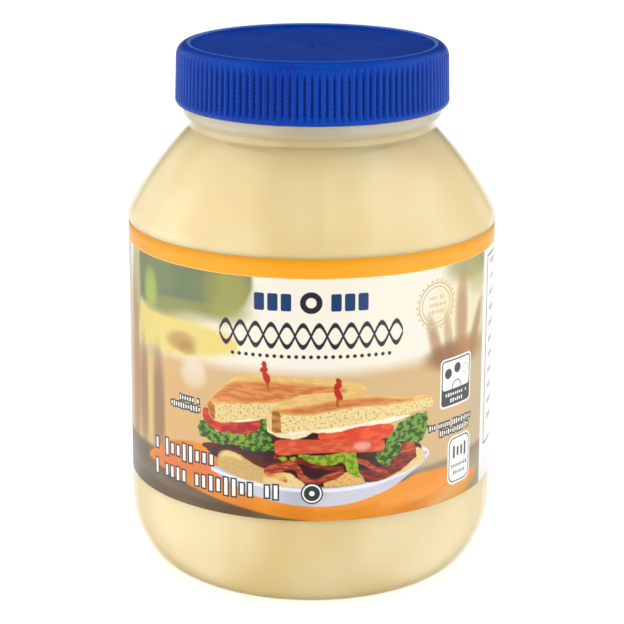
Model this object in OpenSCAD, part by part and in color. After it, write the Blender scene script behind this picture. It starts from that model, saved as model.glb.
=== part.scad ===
// Wide-mouth food jar of clear plastic, filled with mayonnaise, with a ribbed
// screw-on lid and a wrap-around film label. Millimetres. The origin is at the
// centre of the ring that the jar stands on, +Z is up and -Y is the front.

/* [Body] */
// Outside diameter of the straight side
body_d = 100; // [88:0.5:120]
// Height at which the straight side ends and the upper corner begins
body_top = 98; // [80:0.5:130]
// Radius of the corner between the side and the shoulder
corner_r = 5.5; // [3:0.5:8]
// Radius of the long arc that makes the shoulder
shoulder_r = 97; // [70:1:160]
// Height of the shoulder, from the end of the straight side up to the neck
shoulder_h = 24.4; // [20:0.2:30]
// Thickness of the blown wall
wall = 0.85; // [0.5:0.05:1.2]

/* [Heel and base] */
// Radius of the upper, slow arc of the heel
heel_r = 27; // [22:0.5:34]
// Radius of the toe, the tighter arc that runs into the standing ring
toe_r = 11; // [7:0.5:12]
// How far the flat ring that the jar stands on lies inside the body
heel_in = 13.7; // [12:0.1:18]
// Width of the flat ring
ring_w = 1.6; // [1:0.1:3]
// Height of the pushed-up middle of the base
pushup_h = 7; // [2:0.5:10]

/* [Neck] */
// Outside diameter of the neck
neck_d = 66; // [58:0.2:72]
// Thickness of the moulded neck
neck_wall = 1.8; // [1.2:0.1:2.4]
// Height of the plain neck between the shoulder and the neck ring
neck_h = 1.6; // [1:0.1:4]
// How far the neck ring stands out from the neck
bead_out = 1.8; // [1:0.1:2.2]
// Height of the sloped underside of the neck ring
bead_slope_h = 1.9; // [1:0.1:3]
// Height of the upright edge of the neck ring
bead_h = 2.2; // [1:0.1:4]
// Radius that rounds the lip
lip_r = 0.5; // [0.2:0.1:0.7]

/* [Filling] */
// Distance from the lip down to the top of the filling
headspace = 3.8; // [1:0.1:10]
// Clearance between the filling and the wall
fill_gap = 0.02; // [0:0.01:0.1]

/* [Lid] */
// Room between the neck and the skirt, which the screw thread takes up
thread_room = 2; // [1.8:0.1:3]
// Height of the lid
lid_h = 16.3; // [12:0.1:22]
// How far the skirt's radius grows towards its lower end
lid_flare = 0.35; // [0:0.05:0.6]
// Thickness of the skirt
skirt_wall = 1.5; // [1.3:0.05:2]
// Thickness of the top panel
panel_t = 1.3; // [1:0.1:2]
// Depth of the top panel below the rim around it
panel_depth = 1; // [0.5:0.1:2]
// Radius of the lid's outer shoulder
lid_round = 2.6; // [1.5:0.1:3.5]
// Radius that rounds the inner edge of the rim
rim_round = 0.6; // [0.3:0.1:1]
// Radius that rounds the lower edge of the skirt
hem_r = 1.2; // [0.5:0.1:1.2]
// Gap between the neck ring and the skirt
lid_gap = 0.3; // [0.2:0.1:1]

/* [Ribs] */
// Number of grooves around the skirt
rib_count = 120; // [60:1:140]
// Radius of one groove
groove_r = 0.45; // [0.3:0.05:0.6]
// Height of the plain band below the grooves
band_h = 1.5; // [1:0.1:3]

/* [Moulding mark] */
// Diameter of the shallow dish in the middle of the lid
dish_d = 14; // [8:1:30]
// Depth of the dish
dish_depth = 0.3; // [0.1:0.05:0.5]
// Diameter of the nub left by the moulding gate
nub_d = 1.2; // [0.6:0.1:2]
// Height of the nub
nub_h = 0.4; // [0.2:0.1:0.8]

/* [Label] */
// Height of the label's lower edge above the end of the heel
label_rise = 7.3; // [2:0.1:20]
// Distance from the label's upper edge up to the corner of the body
label_drop = 0.6; // [0.6:0.1:10]
// Thickness of the label film with its adhesive
label_t = 0.15; // [0.1:0.05:0.3]
// Depth of the recess in the body that takes the label
recess = 0.2; // [0.1:0.05:0.4]
// Space between each edge of the label and the end of the recess
recess_margin = 0.5; // [0.2:0.1:0.6]

/* [Hidden] */

$fn = 96;
arc_steps = 10;
small_steps = 6;
groove_facets = 24;
overlap = 0.1;

body_r = body_d / 2;
neck_r = neck_d / 2;
ring_r = body_r - heel_in;
ring_in = ring_r - ring_w;
skirt_in = neck_r + thread_room;
lid_r = skirt_in + skirt_wall;
label_r = body_r - recess;

// Heights, from the floor up
neck_z = body_top + shoulder_h;
bead_z = neck_z + neck_h;
edge_z = bead_z + bead_slope_h;
skirt_z = edge_z + bead_h + lid_gap;
lid_top = skirt_z + lid_h;
panel_z = lid_top - panel_depth;
lip_z = panel_z - panel_t;
fill_z = lip_z - headspace;

// The heel arc is tangent to the side, the toe arc to the floor, and each to the other
heel_x = body_r - heel_r;
heel_z = toe_r + sqrt(pow(heel_r - toe_r, 2) - pow(ring_r - heel_x, 2));
toe_turn = atan2(toe_r - heel_z, ring_r - heel_x);

// The label covers the straight side, from above the heel to below the corner
label_z = heel_z + label_rise;
label_h = body_top - label_drop - label_z;

// The shoulder arc is tangent to the corner arc and ends at the foot of the neck
corner_x = body_r - corner_r;
to_neck = [neck_r - corner_x, neck_z - body_top];
reach = shoulder_r - corner_r;
lean = (pow(shoulder_r, 2) - pow(reach, 2) - to_neck * to_neck) / (2 * reach);
corner_turn = atan2(to_neck.y, to_neck.x) - acos(lean / norm(to_neck));
shoulder_x = corner_x - reach * cos(corner_turn);
shoulder_z = body_top - reach * sin(corner_turn);
shoulder_end = atan2(neck_z - shoulder_z, neck_r - shoulder_x);

// The pushed-up base is a shallow dome that starts at the inside of the ring
dome_r = (pow(ring_in, 2) + pow(pushup_h, 2)) / (2 * pushup_h);

// Points along an arc about [x, z], from angle a to angle b
function arc(x, z, r, a, b, steps = arc_steps) =
    [for (i = [0:steps]) let (t = a + (b - a) * i / steps) [x + r * cos(t), z + r * sin(t)]];

// The body's outline from the ring up to the foot of the neck, drawn in by t
function body_side(t) = concat(
    arc(ring_r, toe_r, toe_r - t, -90, toe_turn),
    arc(heel_x, heel_z, heel_r - t, toe_turn, 0),
    arc(corner_x, body_top, corner_r - t, 0, corner_turn),
    arc(shoulder_x, shoulder_z, shoulder_r - t, corner_turn, shoulder_end)
);

// The dome of the base from its middle out to where it is t above the floor
function base_dome(t) =
    let (edge = acos((dome_r - pushup_h + t) / (dome_r + t)))
    arc(0, pushup_h - dome_r, dome_r + t, 90, 90 - edge);

// The space inside the jar up to height top in the neck, drawn in by t
module inside(t, top) {
    bore_z = neck_z - neck_wall;
    rotate_extrude() polygon(concat(base_dome(wall + t), body_side(wall + t), [[0, neck_z]]));
    translate([0, 0, bore_z]) cylinder(r = neck_r - neck_wall - t, h = top - bore_z);
}

// The hollow jar with its neck, neck ring, lip and label recess
module jar() {
    color([0.93, 0.94, 0.92, 0.4]) difference() {
        rotate_extrude() polygon(concat(
            base_dome(0),
            body_side(0),
            [
                [neck_r, bead_z],
                [neck_r + bead_out, edge_z],
                [neck_r + bead_out, edge_z + bead_h],
                [neck_r, edge_z + bead_h]
            ],
            arc(neck_r - lip_r, lip_z - lip_r, lip_r, 0, 90),
            [[0, lip_z]]
        ));
        inside(0, lip_z + overlap);
        label_recess();
    }
}

// The shallow band around the body that the label lies in
module label_recess() {
    translate([0, 0, label_z - recess_margin]) difference() {
        cylinder(r = body_r + overlap, h = label_h + 2 * recess_margin);
        translate([0, 0, -overlap]) cylinder(r = label_r, h = label_h + 2 * recess_margin + 2 * overlap);
    }
}

// The filling, from the base up to its level in the neck
module mayonnaise() {
    color([0.93, 0.85, 0.66]) inside(fill_gap, fill_z);
}

// The film label, closed all the way round
module label() {
    color([0.98, 0.66, 0.1]) translate([0, 0, label_z]) difference() {
        cylinder(r = label_r + label_t, h = label_h);
        translate([0, 0, -overlap]) cylinder(r = label_r, h = label_h + 2 * overlap);
    }
}

// Grooves cut into the skirt, each an upright cylinder that leans with the flare
module grooves() {
    groove_z = skirt_z + band_h;
    draft = atan2(lid_flare, lid_h);
    for (i = [0:rib_count - 1]) {
        rotate([0, 0, (i + 0.5) * 360 / rib_count])
            translate([lid_r + lid_flare, 0, groove_z])
                rotate([0, -draft, 0])
                    cylinder(r = groove_r, h = lid_h, $fn = groove_facets);
    }
}

// The lid: rim, recessed panel with its dish and nub, and ribbed skirt
module lid() {
    hem_out = lid_r + lid_flare;
    rim_r = min(rim_round, panel_depth);
    crest_r = lid_r - lid_round;
    color([0.02, 0.12, 0.6]) difference() {
        rotate_extrude() polygon(concat(
            [
                [0, lip_z],
                [skirt_in, lip_z],
                [skirt_in, skirt_z]
            ],
            arc(hem_out - hem_r, skirt_z + hem_r, hem_r, -90, 0, small_steps),
            arc(crest_r, lid_top - lid_round, lid_round, 0, 90),
            arc(crest_r, lid_top - rim_r, rim_r, 90, 180, small_steps),
            [
                [crest_r - rim_r, panel_z],
                [dish_d / 2, panel_z],
                [nub_d / 2, panel_z - dish_depth],
                [nub_d / 2, panel_z - dish_depth + nub_h],
                [0, panel_z - dish_depth + nub_h]
            ]
        ));
        grooves();
    }
}

jar();
mayonnaise();
lid();
label();
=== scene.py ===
"""Looks of a wide-mouth jar of mayonnaise: clear wall, filling, ribbed lid and printed film label.

The frame gives the places. +Z is up, -Y is the front of the label, and every piece is built in
millimetres and put into its mesh in metres. Shapes are surfaces of two parameters, worked out as
whole arrays. The label is painted in its own millimetres by expressions on shader sockets.
"""

import logging
import math
from collections.abc import Mapping, Sequence
from dataclasses import dataclass, field
from enum import Enum

import bpy
import numpy as np
from mathutils import Euler, Matrix, Vector


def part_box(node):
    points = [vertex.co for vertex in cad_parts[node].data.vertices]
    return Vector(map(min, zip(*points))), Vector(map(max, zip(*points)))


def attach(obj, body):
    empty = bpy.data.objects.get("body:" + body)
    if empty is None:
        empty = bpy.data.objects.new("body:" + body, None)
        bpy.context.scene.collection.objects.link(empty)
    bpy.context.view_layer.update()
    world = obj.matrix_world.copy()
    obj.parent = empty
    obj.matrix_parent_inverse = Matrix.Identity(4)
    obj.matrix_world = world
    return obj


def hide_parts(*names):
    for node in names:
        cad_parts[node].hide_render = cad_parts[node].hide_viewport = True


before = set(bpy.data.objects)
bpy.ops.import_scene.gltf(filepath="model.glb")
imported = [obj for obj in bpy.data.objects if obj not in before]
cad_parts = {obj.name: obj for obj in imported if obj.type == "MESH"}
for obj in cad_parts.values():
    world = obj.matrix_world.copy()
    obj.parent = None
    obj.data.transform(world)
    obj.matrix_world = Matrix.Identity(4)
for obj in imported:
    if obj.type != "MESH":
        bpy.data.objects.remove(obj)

MM = 0.001
BODY = "root"
PRINT_MAP = "print_map"
GUARD = 1.4

Colour = tuple[float, float, float, float]
Point = tuple[float, float]

logging.basicConfig(level=logging.INFO, format="%(message)s")
log = logging.getLogger("jar")


# ---------------------------------------------------------------- numbers and outlines


def srgb(red: float, green: float, blue: float) -> Colour:
    """Turns a screen colour into the linear colour that a socket takes.

    Args:
        red: Red, 0 to 255.
        green: Green, 0 to 255.
        blue: Blue, 0 to 255.

    Returns:
        Linear red, green and blue, and an alpha of 1.
    """
    levels = np.array([red, green, blue]) / 255.0
    linear = np.where(levels <= 0.04045, levels / 12.92, ((levels + 0.055) / 1.055) ** 2.4)
    return (float(linear[0]), float(linear[1]), float(linear[2]), 1.0)


def arc(x: float, z: float, radius: float, start: float, end: float, steps: int) -> np.ndarray:
    """Points along an arc: centre plus radius times (cosine, sine) of evenly spaced angles.

    Args:
        x: Centre, outwards from the axis.
        z: Centre, upwards.
        radius: Radius of the arc.
        start: First angle in degrees, 0 pointing outwards and 90 upwards.
        end: Last angle in degrees.
        steps: Number of steps.

    Returns:
        Array of (steps + 1, 2).
    """
    turn = np.radians(np.linspace(start, end, steps + 1))
    return np.column_stack([x + radius * np.cos(turn), z + radius * np.sin(turn)])


def soften(corners: Sequence[tuple[float, float, float]], steps: int = 5) -> np.ndarray:
    """Rounds the corners of an open outline.

    Each corner becomes a quadratic curve from a point cut before it to a point cut after it, pulled
    towards the corner, with one more point on each side that keeps the shading of flat faces flat.
    The cuts of two neighbours, each times GUARD, fit between them, or the outline folds back.

    Args:
        corners: (radius, height, cut) of each corner. A cut of 0 leaves the corner sharp.
        steps: Steps along each rounded corner.

    Returns:
        Array of (points, 2).
    """
    spots = np.array([corner[:2] for corner in corners], dtype=float)
    pieces = [spots[:1]]
    for before, here, after, cut in zip(spots, spots[1:], spots[2:], [c[2] for c in corners[1:]]):
        if cut <= 0:
            pieces.append(here[None])
            continue
        back = (before - here) / np.linalg.norm(before - here)
        ahead = (after - here) / np.linalg.norm(after - here)
        t = np.linspace(0, 1, steps + 1)[:, None]
        curve = here + (1 - t) ** 2 * cut * back + t ** 2 * cut * ahead
        pieces += [(here + GUARD * cut * back)[None], curve, (here + GUARD * cut * ahead)[None]]
    return np.vstack([*pieces, spots[-1:]])


def turn_between(low: np.ndarray, high: np.ndarray, value: np.ndarray) -> np.ndarray:
    """Smooth step of value from 0 at low to 1 at high: 3 t squared less 2 t cubed."""
    t = np.clip((value - low) / (high - low), 0, 1)
    return t * t * (3 - 2 * t)


# ---------------------------------------------------------------- meshes


def grid_quads(rows: int, columns: int, wrap: bool) -> np.ndarray:
    """Quads between neighbours of a grid whose vertex (i, j) has the number i * columns + j.

    Args:
        rows: Number of rows.
        columns: Number of columns.
        wrap: True if the last column joins the first.

    Returns:
        Array of (quads, 4), turned so that columns then rows run counter-clockwise.
    """
    row, column = np.meshgrid(np.arange(rows - 1), np.arange(columns - (not wrap)), indexing="ij")
    here = row * columns + column
    beside = row * columns + (column + 1) % columns
    return np.stack([here, beside, beside + columns, here + columns], axis=-1).reshape(-1, 4)


def mesh_object(name: str, points: np.ndarray, faces: list[list[int]]) -> bpy.types.Object:
    """Puts points, given in millimetres, and faces into a smooth-shaded object at the origin.

    Args:
        name: Name of the piece.
        points: Array of (points, 3) in millimetres.
        faces: Vertex numbers of each face.

    Returns:
        The new object, linked to the scene.
    """
    mesh = bpy.data.meshes.new(name)
    mesh.from_pydata((points * MM).tolist(), [], faces)
    mesh.shade_smooth()
    mesh.update()
    made = bpy.data.objects.new(name, mesh)
    bpy.context.scene.collection.objects.link(made)
    return made


def turned(name: str, radius: np.ndarray, height: np.ndarray, angles: np.ndarray) -> bpy.types.Object:
    """Closed body around the Z axis: point (i, j) is radius (i, j) out at angle j and height i up.

    The first and last rows lie on the axis. Each becomes one vertex with a fan of triangles, so
    that both poles are closed. Heights run so that the solid lies left of the outline.

    Args:
        name: Name of the piece.
        radius: Array of (rows, columns).
        height: Array of (rows,).
        angles: Array of (columns,) in radians, rising.

    Returns:
        The new object.
    """
    rows, columns = radius.shape[0] - 2, angles.size
    inner = radius[1:-1]
    rings = np.stack([
        inner * np.cos(angles),
        inner * np.sin(angles),
        np.broadcast_to(height[1:-1, None], inner.shape),
    ], axis=-1).reshape(-1, 3)
    points = np.vstack([rings, [[0, 0, height[0]], [0, 0, height[-1]]]])
    first, last = rows * columns, rows * columns + 1
    this = np.arange(columns)
    following = (this + 1) % columns
    low_fan = np.stack([np.full(columns, first), following, this], axis=-1)
    top = (rows - 1) * columns
    high_fan = np.stack([np.full(columns, last), top + this, top + following], axis=-1)
    faces = grid_quads(rows, columns, True).tolist() + low_fan.tolist() + high_fan.tolist()
    return mesh_object(name, points, faces)


def even_angles(columns: int) -> np.ndarray:
    """Angles in radians that divide the circle evenly."""
    return np.arange(columns) * 2 * np.pi / columns


def revolve(name: str, outline: np.ndarray, columns: int) -> bpy.types.Object:
    """Turns a plain outline of (radius, height) around the Z axis."""
    radius = np.repeat(outline[:, :1], columns, axis=1)
    return turned(name, radius, outline[:, 1], even_angles(columns))


# ---------------------------------------------------------------- shader sockets


class Pin:
    """One output socket. Python's operators on it add Math nodes to its board."""

    def __init__(self, board: "Board", socket: bpy.types.NodeSocket) -> None:
        """Keeps the socket and the board that it belongs to."""
        self.board = board
        self.socket = socket

    def _math(self, operation: str, *values: "Pin | float") -> "Pin":
        """Adds a Math node of that operation on the values."""
        return self.board.node("ShaderNodeMath", {"operation": operation}, dict(enumerate(values)))

    def __add__(self, other: "Pin | float") -> "Pin":
        """Sum."""
        return self._math("ADD", self, other)

    def __radd__(self, other: float) -> "Pin":
        """Sum with a number on the left."""
        return self._math("ADD", other, self)

    def __sub__(self, other: "Pin | float") -> "Pin":
        """Difference."""
        return self._math("SUBTRACT", self, other)

    def __rsub__(self, other: float) -> "Pin":
        """Difference with a number on the left."""
        return self._math("SUBTRACT", other, self)

    def __mul__(self, other: "Pin | float") -> "Pin":
        """Product."""
        return self._math("MULTIPLY", self, other)

    def __rmul__(self, other: float) -> "Pin":
        """Product with a number on the left."""
        return self._math("MULTIPLY", other, self)

    def __truediv__(self, other: "Pin | float") -> "Pin":
        """Quotient."""
        return self._math("DIVIDE", self, other)

    def __abs__(self) -> "Pin":
        """Size without sign."""
        return self._math("ABSOLUTE", self)

    def most(self, other: "Pin | float") -> "Pin":
        """The larger of the two."""
        return self._math("MAXIMUM", self, other)

    def scaled(self, factor: "Pin | float", plus: "Pin | float") -> "Pin":
        """This times a factor plus a number."""
        return self._math("MULTIPLY_ADD", self, factor, plus)

    def root(self) -> "Pin":
        """Square root."""
        return self._math("SQRT", self)

    def sine(self) -> "Pin":
        """Sine of an angle in radians."""
        return self._math("SINE", self)

    def whole(self) -> "Pin":
        """The whole number below."""
        return self._math("FLOOR", self)

    def saw(self, period: float) -> "Pin":
        """Distance from the nearest multiple of period, up or down."""
        return abs(self._math("WRAP", self, -period / 2, period / 2))

    def step(self, low: float, high: float, start: float = 0.0, end: float = 1.0) -> "Pin":
        """Smooth step that goes from start at low to end at high and stays there, unclamped.

        The step limits itself, and a clamp would be a hidden node that is worked out too late.

        Args:
            low: Value at which the step begins.
            high: Value at which it ends, which may be the smaller one.
            start: Result up to low.
            end: Result from high on.

        Returns:
            The result.
        """
        settings = {"interpolation_type": "SMOOTHSTEP", "clamp": False}
        values = {"Value": self, "From Min": low, "From Max": high, "To Min": start, "To Max": end}
        return self.board.node("ShaderNodeMapRange", settings, values)

    def other(self, output: str) -> "Pin":
        """Another output of the same node."""
        return Pin(self.board, self.socket.node.outputs[output])


class Board:
    """A node tree, with one method that adds any node to it."""

    def __init__(self, tree: bpy.types.NodeTree) -> None:
        """Empties the tree and keeps it."""
        tree.nodes.clear()
        self.tree = tree

    def node(
        self,
        kind: str,
        settings: Mapping[str, object] | None = None,
        inputs: Mapping[int | str, object] | None = None,
        output: int | str = 0,
    ) -> Pin:
        """Adds a node.

        Args:
            kind: Type name of the node.
            settings: Its properties, and as "points" the points of a float curve.
            inputs: Value or pin of each socket, by number or name.
            output: Number or name of the output to return.

        Returns:
            That output.
        """
        made = self.tree.nodes.new(kind)
        for key, value in (settings or {}).items():
            if key == "points":
                self._set_points(made.mapping, value)
            else:
                setattr(made, key, value)
        for key, value in (inputs or {}).items():
            if isinstance(value, Pin):
                self.tree.links.new(value.socket, made.inputs[key])
            else:
                made.inputs[key].default_value = value
        return Pin(self, made.outputs[output] if len(made.outputs) else None)

    @staticmethod
    def _set_points(mapping: bpy.types.CurveMapping, points: Sequence[Point]) -> None:
        """Gives a float curve its points.

        Args:
            mapping: Mapping of the curve's node.
            points: Its points, all within 0 to 1, the first at 0 and the last at 1.
        """
        curve = mapping.curves[0]
        curve.points[0].location = points[0]
        curve.points[1].location = points[-1]
        for place in points[1:-1]:
            curve.points.new(*place)
        mapping.update()

    def mix(self, mask: "Pin | float", under: "Pin | Colour", over: "Pin | Colour") -> Pin:
        """Colour that is under where the mask is 0 and over where it is 1."""
        return self.node("ShaderNodeMix", {"data_type": "RGBA"}, {0: mask, 6: under, 7: over}, 2)

    def noise(self, at: Pin, scale: float, detail: float = 2.0) -> Pin:
        """Smooth noise at a place, with about scale features for each unit of length."""
        return self.node("ShaderNodeTexNoise", None, {"Vector": at, "Scale": scale, "Detail": detail})


class MaterialBoard(Board):
    """The node tree of a new material."""

    def __init__(self, name: str) -> None:
        """Makes the material."""
        self.material = bpy.data.materials.new(name)
        self.material.use_nodes = True
        super().__init__(self.material.node_tree)

    def millimetres(self) -> Pin:
        """Object coordinates in millimetres."""
        place = self.node("ShaderNodeTexCoord", None, None, "Object")
        return self.node("ShaderNodeVectorMath", {"operation": "SCALE"}, {0: place, "Scale": 1 / MM})

    def surface(self, shader: Pin) -> bpy.types.Material:
        """Puts a shader on the output and returns the material."""
        self.node("ShaderNodeOutputMaterial", None, {"Surface": shader})
        return self.material

    def bump(self, height: Pin, strength: float, distance: float) -> Pin:
        """Normal tilted by a height, with the distance in millimetres."""
        values = {"Height": height, "Strength": strength, "Distance": distance * MM}
        return self.node("ShaderNodeBump", None, values)


# ---------------------------------------------------------------- finishes


@dataclass(frozen=True)
class ClearPlastic:
    """Clear blown plastic that bends light and lets shadow rays straight through."""

    tint: Colour = srgb(252, 252, 250)
    index: float = 1.575
    roughness: float = 0.03
    ripple: float = 0.12
    ripple_size: float = 22.0

    def material(self) -> bpy.types.Material:
        """Glossy clear plastic with the faint slow ripple of a blown wall.

        Returns:
            The material.
        """
        board = MaterialBoard("clear_plastic")
        place = board.millimetres()
        slow = board.noise(place, 1 / self.ripple_size, 1.0)
        smear = board.noise(place, 0.16, 3.0)
        clear = board.node("ShaderNodeBsdfPrincipled", None, {
            "Base Color": self.tint,
            "Roughness": smear.step(0.35, 0.8, self.roughness, self.roughness + 0.05),
            "IOR": self.index,
            "Transmission Weight": 1.0,
            "Normal": board.bump(slow, self.ripple, 3.0),
        })
        shadow = board.node("ShaderNodeLightPath", None, None, "Is Shadow Ray")
        passing = board.node("ShaderNodeBsdfTransparent", None, {"Color": self.tint})
        return board.surface(board.node("ShaderNodeMixShader", None, {0: shadow, 1: clear, 2: passing}))


@dataclass(frozen=True)
class Cream:
    """Mayonnaise: a smooth creamy emulsion with slow cloudy differences."""

    pale: Colour = srgb(247, 232, 186)
    deep: Colour = srgb(243, 222, 165)
    painted_neck_reflection: Colour = srgb(236, 226, 203)
    cloud_size: float = 26.0
    roughness: float = 0.42
    softness: float = 0.12

    def material(self, neck: float) -> bpy.types.Material:
        """Creamy colour in soft clouds, a painted reflection that turns it paler in the neck, and a slight
        glow of light from inside.

        Args:
            neck: Height in millimetres about which the painted reflection turns it paler.

        Returns:
            The material.
        """
        board = MaterialBoard("mayonnaise")
        place = board.millimetres()
        height = board.node("ShaderNodeSeparateXYZ", None, {0: place}, "Z")
        cloud = board.noise(place, 1 / self.cloud_size, 2.0)
        folds = board.noise(place, 0.11, 3.0)
        cream = board.mix(cloud.step(0.35, 0.65), self.deep, self.pale)
        # Painted reflection: paler and greyer in the neck, where the clear neck ring shows light in front of
        # the cream.
        return board.surface(board.node("ShaderNodeBsdfPrincipled", None, {
            "Base Color": board.mix(height.step(neck - 0.5, neck + 2.5), cream, self.painted_neck_reflection),
            "Roughness": self.roughness,
            "Subsurface Weight": self.softness,
            "Subsurface Radius": (0.004, 0.003, 0.0015),
            "Normal": board.bump(folds, 0.12, 1.5),
        }))


@dataclass(frozen=True)
class LidPlastic:
    """Deep blue plastic with a low sheen, painted shade in its grooves and a painted rim highlight."""

    blue: Colour = srgb(0, 66, 172)
    dark_blue: Colour = srgb(0, 56, 162)
    painted_groove_shade: Colour = srgb(0, 30, 112)
    painted_rim_highlight: Colour = srgb(84, 124, 208)
    roughness: float = 0.28
    shine: float = 0.14
    grain: float = 0.003
    groove_shade_fade: tuple[float, float] = (0.27, 0.05)
    groove_shade_foot: float = 1.6
    groove_shade_head: tuple[float, float] = (2.4, 4.6)
    rim_highlight_fade: tuple[float, float] = (0.8, 0.3)

    def material(self, lid: "RibbedLid") -> bpy.types.Material:
        """Blue plastic with a slow drift in its colour, with painted shade and a painted highlight.

        The painted shade lies where the angle is near a whole number of ribs, between the band and the
        rounded shoulder. It fades with the share of a rib, and in height over the foot and head
        distances. The painted highlight is a pale line along the inner edge of the rim.

        Args:
            lid: The lid that it is for.

        Returns:
            The material.
        """
        board = MaterialBoard("blue_lid")
        place = board.millimetres()
        drift, grain = board.noise(place, 0.05, 2.0), board.noise(place, 1.5, 2.0)
        x = board.node("ShaderNodeSeparateXYZ", None, {0: place})
        y, z = x.other("Y"), x.other("Z")
        turn = board.node("ShaderNodeMath", {"operation": "ARCTAN2"}, {0: y, 1: x})
        # Painted shade: the grooves are darkened where shade falls in them.
        start = lid.foot + lid.band
        none, full = (lid.top - down for down in self.groove_shade_head)
        groove = (turn * (lid.ribs / (2 * math.pi))).saw(1.0).step(*self.groove_shade_fade)
        groove = groove * z.step(start, start + self.groove_shade_foot) * z.step(none, full)
        # Painted highlight: a pale line along the inner edge of the rim, where the rounded edge catches the
        # light.
        out = (x * x + y * y).root() - (lid.crest - 0.1)
        rim = abs(out).step(*self.rim_highlight_fade) * z.step(lid.top - 0.4, lid.top - 0.2)
        colour = board.mix(drift.step(0.3, 0.7), self.dark_blue, self.blue)
        colour = board.mix(groove, colour, self.painted_groove_shade)
        return board.surface(board.node("ShaderNodeBsdfPrincipled", None, {
            "Base Color": board.mix(rim, colour, self.painted_rim_highlight),
            "Roughness": grain.step(0.3, 0.7, self.roughness - 0.04, self.roughness + 0.04),
            "Specular IOR Level": self.shine,
            "Normal": board.bump(grain, self.grain, 0.05),
        }))


@dataclass(frozen=True)
class FilmGloss:
    """Gloss of the printed film, the same for each part of the print."""

    roughness: float = 0.3
    shine: float = 0.4
    wrinkle: float = 0.04

    def shader(self, board: MaterialBoard, colour: Pin) -> Pin:
        """Satin film of that colour, not quite flat on the wall.

        Args:
            board: Board of the material.
            colour: Colour of the print.

        Returns:
            The shader.
        """
        place = board.millimetres()
        return board.node("ShaderNodeBsdfPrincipled", None, {
            "Base Color": colour,
            "Roughness": self.roughness,
            "Specular IOR Level": self.shine,
            "Normal": board.bump(board.noise(place, 0.08, 2.0), self.wrinkle, 2.0),
        })


# ---------------------------------------------------------------- jar and filling


@dataclass
class Bottle:
    """Outline that the clear wall and the filling share, in millimetres."""

    body_r: float
    label_low: float
    label_high: float
    lip: float
    body_top: float = 98.0
    corner_r: float = 5.5
    shoulder_r: float = 97.0
    shoulder_h: float = 24.4
    heel_r: float = 27.0
    toe_r: float = 11.0
    heel_in: float = 13.7
    ring_w: float = 1.6
    pushup: float = 7.0
    wall: float = 0.85
    neck_r: float = 33.0
    neck_wall: float = 1.8
    recess: float = 0.2
    recess_margin: float = 0.5

    @property
    def neck_foot(self) -> float:
        """Height at which the shoulder meets the neck."""
        return self.body_top + self.shoulder_h

    def base(self, inset: float) -> np.ndarray:
        """Pushed-up base from its middle out to where it is inset above the floor.

        It is a shallow dome through the inner edge of the standing ring. Its radius is the ring's
        inner radius squared plus the rise squared, over twice the rise.

        Args:
            inset: How far the outline is drawn in.

        Returns:
            Array of (points, 2), as from the other parts of the outline.
        """
        ring_in = self.body_r - self.heel_in - self.ring_w
        dome = (ring_in ** 2 + self.pushup ** 2) / (2 * self.pushup)
        edge = math.degrees(math.acos((dome - self.pushup + inset) / (dome + inset)))
        return arc(0, self.pushup - dome, dome + inset, 90, 90 - edge, 16)

    def heel(self, inset: float) -> np.ndarray:
        """Toe arc, tangent to the floor, and heel arc, tangent to the toe and to the side.

        Args:
            inset: How far the outline is drawn in.

        Returns:
            Array of (points, 2).
        """
        ring_r = self.body_r - self.heel_in
        heel_x = self.body_r - self.heel_r
        across = ring_r - heel_x
        heel_z = self.toe_r + math.sqrt((self.heel_r - self.toe_r) ** 2 - across ** 2)
        turn = math.degrees(math.atan2(self.toe_r - heel_z, across))
        toe = arc(ring_r, self.toe_r, self.toe_r - inset, -90, turn, 14)
        return np.vstack([toe, arc(heel_x, heel_z, self.heel_r - inset, turn, 0, 18)[1:]])

    def shoulder(self, inset: float, short: float = 0.0) -> np.ndarray:
        """Corner arc and the long shoulder arc, tangent to it, up to the foot of the neck.

        The shoulder's centre lies on the line through the corner's centre, as far from the foot of
        the neck as the shoulder's radius.

        Args:
            inset: How far the outline is drawn in.
            short: Degrees by which the shoulder ends before the neck.

        Returns:
            Array of (points, 2).
        """
        corner_x = self.body_r - self.corner_r
        reach = self.shoulder_r - self.corner_r
        away = np.array([self.neck_r - corner_x, self.shoulder_h])
        lean = (self.shoulder_r ** 2 - reach ** 2 - away @ away) / (2 * reach)
        turn = math.degrees(math.atan2(away[1], away[0]) - math.acos(lean / np.linalg.norm(away)))
        x = corner_x - reach * math.cos(math.radians(turn))
        z = self.body_top - reach * math.sin(math.radians(turn))
        end = math.degrees(math.atan2(self.neck_foot - z, self.neck_r - x)) - short
        corner = arc(corner_x, self.body_top, self.corner_r - inset, 0, turn, 10)
        return np.vstack([corner, arc(x, z, self.shoulder_r - inset, turn, end, 30)[1:]])


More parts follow.
